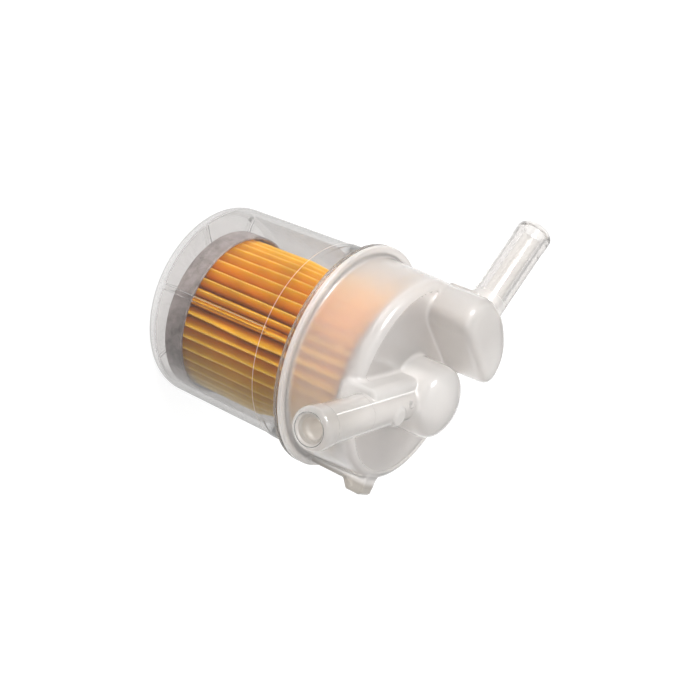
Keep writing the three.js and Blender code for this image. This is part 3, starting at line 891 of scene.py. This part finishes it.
def make_paper():
    """One sheet folded into pleats with rounded folds, closed into a ring."""
    path = pleat_path()
    count = len(path)
    ahead = np.roll(path, -1, 0) - np.roll(path, 1, 0)
    ahead /= np.linalg.norm(ahead, axis=1)[:, None]
    half = np.stack([ahead[:, 1], -ahead[:, 0]], 1) * PAPER / 2
    around = np.stack([-path[:, 1], path[:, 0]], 1)
    around /= np.linalg.norm(around, axis=1)[:, None]
    rng = np.random.default_rng(PAPER_SEED)
    wobble = rng.normal(0, PLEAT_WOBBLE, (PLEAT_COUNT, WAVES))
    points, faces = [], []
    for t in np.linspace(0, 1, PAPER_ROWS):
        bend = np.zeros(count)
        for k in range(WAVES):
            bend += np.repeat(wobble[:, k], count // PLEAT_COUNT) * math.sin(math.pi * (k + 1) * t) / (k + 1)
        middle = path + around * bend[:, None]
        height = PAPER_BOTTOM + (PAPER_TOP - PAPER_BOTTOM) * t
        for layer in (middle + half, middle - half):
            points += [(px, py, height) for px, py in layer]
    for i in range(count):
        j = (i + 1) % count
        for row in range(PAPER_ROWS - 1):
            outer, inner = 2 * row * count, (2 * row + 1) * count
            above = 2 * count
            faces.append([outer + i, outer + j, outer + above + j, outer + above + i])
            faces.append([inner + above + i, inner + above + j, inner + j, inner + i])
        last = 2 * (PAPER_ROWS - 1) * count
        faces.append([count + i, count + j, j, i])
        faces.append([last + i, last + j, last + count + j, last + count + i])
    points = np.array(points)
    out = np.hypot(points[:, 0], points[:, 1])
    paper = shown("paper_pleats", moved(points, ELEMENT_X, ELEMENT_Y), faces, [PAPER_SHEET],
                  "pleated_paper", 60)
    turn = np.arctan2(points[:, 1], points[:, 0]) - math.radians(LIT_SIDE)
    # fold: how near the crest a point is, for the painted highlight there
    add_value(paper, "fold", np.clip((out - (PLEAT_TIP - CREST)) / CREST, 0, 1))
    # deep: how far down towards a valley a point is, for the painted shade there
    add_value(paper, "deep", np.clip((PLEAT_TIP - out) / (PLEAT_TIP - PLEAT_VALLEY), 0, 1))
    # lit: how far round a point is towards LIT_SIDE, which sets the painted glow and the painted side shade
    add_value(paper, "lit", 0.5 + 0.5 * np.cos(turn))
    return paper


def cap_outline(radius, height, hole):
    """A pressed dish with a rolled upper rim, base at height zero."""
    inside = radius - CAP_SHEET
    return [
        (hole, 0),
        (radius - 4.6, 0),
        (radius - 4.2, 0.12),
        (radius - 3.0, 0.12),
        (radius - 2.6, 0),
        *arc(radius - 0.9, 0.9, 0.9, -90, 0, 6),
        *arc(inside + CAP_SHEET / 2, height - CAP_SHEET / 2, CAP_SHEET / 2, 0, 180, 6),
        *arc(inside - 0.3, CAP_SHEET + 0.3, 0.3, 0, -90, 3),
        (hole, CAP_SHEET),
    ]


def make_cap(name, node, outline, height, flipped):
    points, faces = turned(guarded(outline), even_angles(144))
    points = np.array(points)
    if flipped:
        points[:, 2] *= -1
        faces = [face[::-1] for face in faces]
    points = moved(points, ELEMENT_X, ELEMENT_Y, height)
    return shown(name, points, faces, [GREY_CAP], node, 50)


def make_bed(name, node, cap_radius, hole, low, high):
    """Poured adhesive: level in the middle, rounded at its edge."""
    radius = cap_radius - CAP_SHEET - GAP
    edge = 0.18
    outline = [
        (hole, low),
        *arc(radius - edge, low + edge, edge, -90, 0, 3),
        *arc(radius - edge, high - edge, edge, 0, 90, 3),
        (hole, high),
    ]
    points, faces = turned(guarded(outline), even_angles(96))
    return shown(name, moved(points, ELEMENT_X, ELEMENT_Y), faces, [POTTING], node, 50)


def make_seal():
    lip = UPPER_CAP_TOP + GAP
    top = lip + SEAL_LIP_THICKNESS
    outline = [
        *arc(SEAL_INNER + 0.3, UPPER_BED + 0.3, 0.3, 180, 270, 3),
        *arc(SEAL_NECK - 0.3, UPPER_BED + 0.3, 0.3, -90, 0, 3),
        (SEAL_NECK, lip),
        *arc(SEAL_LIP - 0.4, lip + 0.4, 0.4, -90, 0, 4),
        *arc(SEAL_LIP - 0.4, top - 0.4, 0.4, 0, 90, 4),
        *arc(SEAL_INNER + 0.4, top - 0.4, 0.4, 90, 180, 4),
    ]
    points, faces = turned(outline, even_angles(72))
    return shown("seal_grommet", moved(points, ELEMENT_X, ELEMENT_Y), faces, [RUBBER],
                 "outlet_seal", 50)


def make_core():
    """A tube with rows of round-cornered windows, cut as a grid so that every wall is closed."""
    width, height = CORE_WINDOW
    half = width / 2 / CORE_RADIUS
    pitch = FULL_TURN / CORE_COLUMNS
    row_pitch = (PAPER_TOP - PAPER_BOTTOM) / CORE_ROWS
    angles = []
    for column in range(CORE_COLUMNS):
        middle = column * pitch
        angles += [middle - half, middle - half / 3, middle + half / 3, middle + half]
        angles += [middle + half + (pitch - 2 * half) * k / 3 for k in (1, 2)]
    heights = [PAPER_BOTTOM]
    for row in range(CORE_ROWS):
        middle = PAPER_BOTTOM + row_pitch * (row + 0.5)
        heights += [middle - height / 2, middle + height / 2]
    heights.append(PAPER_TOP)
    per_column = len(angles) // CORE_COLUMNS
    count = len(angles)
    points = []
    for radius in (CORE_RADIUS, CORE_RADIUS - CORE_WALL):
        for z in heights:
            points += [(radius * math.cos(a), radius * math.sin(a), z) for a in angles]
    layer = len(heights) * count
    solid = {}
    for row in range(len(heights) - 1):
        for i in range(count):
            solid[row, i] = not (row % 2 == 1 and i % per_column < 3)
    faces = []
    for (row, i), filled in solid.items():
        if not filled:
            continue
        j = (i + 1) % count
        a, b, c, d = row * count + i, row * count + j, (row + 1) * count + j, (row + 1) * count + i
        faces.append([a, b, c, d])
        faces.append([layer + d, layer + c, layer + b, layer + a])
        if not solid.get((row - 1, i), False):
            faces.append([b, a, layer + a, layer + b])
        if not solid.get((row + 1, i), False):
            faces.append([d, c, layer + c, layer + d])
        if not solid[row, (i - 1) % count]:
            faces.append([a, d, layer + d, layer + a])
        if not solid[row, j]:
            faces.append([c, b, layer + b, layer + c])
    core = shown("core_lattice", moved(points, ELEMENT_X, ELEMENT_Y), faces, [CORE_PLASTIC],
                 "core_tube", 40)
    bevel = core.modifiers.new("edges", "BEVEL")
    bevel.width = 0.15 * MM
    bevel.segments = 2
    bevel.limit_method = "ANGLE"
    bevel.angle_limit = math.radians(40)
    return core


# ---- the stage -----------------------------------------------------------------------------------

CAMERA_PLACE = (185.81, -64.36, 150.18)
CAMERA_RIGHT = (-0.55128, -0.22564, 0.80323)
CAMERA_DOWN = (0.11504, 0.93297, 0.34105)
CAMERA_LENS = 51.58


def make_camera():
    data = bpy.data.cameras.new("camera")
    data.lens = CAMERA_LENS
    data.sensor_width = 36
    data.clip_start = 0.001
    data.clip_end = 20
    camera = bpy.data.objects.new("camera", data)
    bpy.context.scene.collection.objects.link(camera)
    right = Vector(CAMERA_RIGHT).normalized()
    up = -Vector(CAMERA_DOWN)
    up = (up - right * up.dot(right)).normalized()
    back = right.cross(up)
    turn = Matrix((right, up, back)).transposed().to_4x4()
    camera.matrix_world = Matrix.Translation(Vector(CAMERA_PLACE) * MM) @ turn
    bpy.context.scene.camera = camera


def make_floor():
    side = 3.0
    steps = 24
    ticks = np.linspace(-side, side, steps + 1)
    points = [(px, py, 0.0) for py in ticks for px in ticks]
    faces = []
    for row in range(steps):
        for i in range(steps):
            a = row * (steps + 1) + i
            faces.append([a, a + 1, a + steps + 2, a + steps + 1])
    mesh = bpy.data.meshes.new("floor")
    mesh.from_pydata(points, [], faces)
    floor = bpy.data.objects.new("floor", mesh)
    bpy.context.scene.collection.objects.link(floor)
    n = Nodes("studio_floor")
    tone = n.ramp(n.noise(3), [(0.3, grey(0.29)), (0.7, grey(0.31))])
    body = n.add("BsdfPrincipled", Base_Color=tone, Roughness=0.8)
    body.inputs["Specular IOR Level"].default_value = 0.1
    body.inputs["Emission Color"].default_value = grey(1)
    body.inputs["Emission Strength"].default_value = 0.76
    n.finish(body.outputs[0])
    mesh.materials.append(n.material)


def make_lamp(name, direction, distance, size, watts, aim=(3, -4, 42)):
    data = bpy.data.lights.new(name, "AREA")
    data.shape = "DISK"
    data.size = size
    data.energy = watts
    lamp = bpy.data.objects.new(name, data)
    bpy.context.scene.collection.objects.link(lamp)
    way = Vector(direction).normalized()
    lamp.location = Vector(aim) * MM + way * distance
    lamp.rotation_mode = "QUATERNION"
    lamp.rotation_quaternion = (-way).to_track_quat("-Z", "Y")


def make_world():
    """A white room whose walls fall to grey near the horizon, so that clear edges show."""
    world = bpy.data.worlds.new("studio")
    bpy.context.scene.world = world
    world.use_nodes = True
    tree = world.node_tree
    tree.nodes.clear()
    place = tree.nodes.new("ShaderNodeTexCoord")
    split = tree.nodes.new("ShaderNodeSeparateXYZ")
    ramp = tree.nodes.new("ShaderNodeValToRGB")
    sky = tree.nodes.new("ShaderNodeBackground")
    out = tree.nodes.new("ShaderNodeOutputWorld")
    tree.links.new(place.outputs["Generated"], split.inputs[0])
    tree.links.new(split.outputs["Z"], ramp.inputs["Fac"])
    tree.links.new(ramp.outputs["Color"], sky.inputs["Color"])
    tree.links.new(sky.outputs[0], out.inputs["Surface"])
    stops = [(0.0, grey(0.45)), (0.3, grey(0.5)), (0.7, grey(1.12))]
    elements = ramp.color_ramp.elements
    while len(elements) < len(stops):
        elements.new(0.5)
    for element, (where, color) in zip(elements, stops):
        element.position = where
        element.color = color
    sky.inputs["Strength"].default_value = 1.0


make_camera()
make_world()
make_floor()
make_lamp("key", (0.25, -0.85, 0.55), 0.5, 0.2, 2.1)
make_lamp("fill", (0.8, 0.35, 0.6), 0.6, 0.4, 0.35)
make_bowl()
make_head()
make_paper()
lower_dish = cap_outline(LOWER_CAP_RADIUS, LOWER_CAP_HEIGHT, 0)
upper_dish = cap_outline(UPPER_CAP_RADIUS, UPPER_CAP_HEIGHT, CAP_HOLE)
make_cap("lower_cap_pressing", "lower_end_cap", lower_dish, LOWER_CAP_Z, False)
make_cap("upper_cap_pressing", "upper_end_cap", upper_dish, UPPER_CAP_TOP, True)
lower_bed_top = LOWER_BED + BED_THICKNESS
make_bed("lower_potting", "lower_potting_bed", LOWER_CAP_RADIUS, 0, LOWER_BED, lower_bed_top)
make_bed("upper_potting", "upper_potting_bed", UPPER_CAP_RADIUS, CAP_HOLE, UPPER_BED, UPPER_BED_TOP)
make_core()
make_seal()
make_seam()
bpy.context.scene.view_settings.view_transform = "Standard"
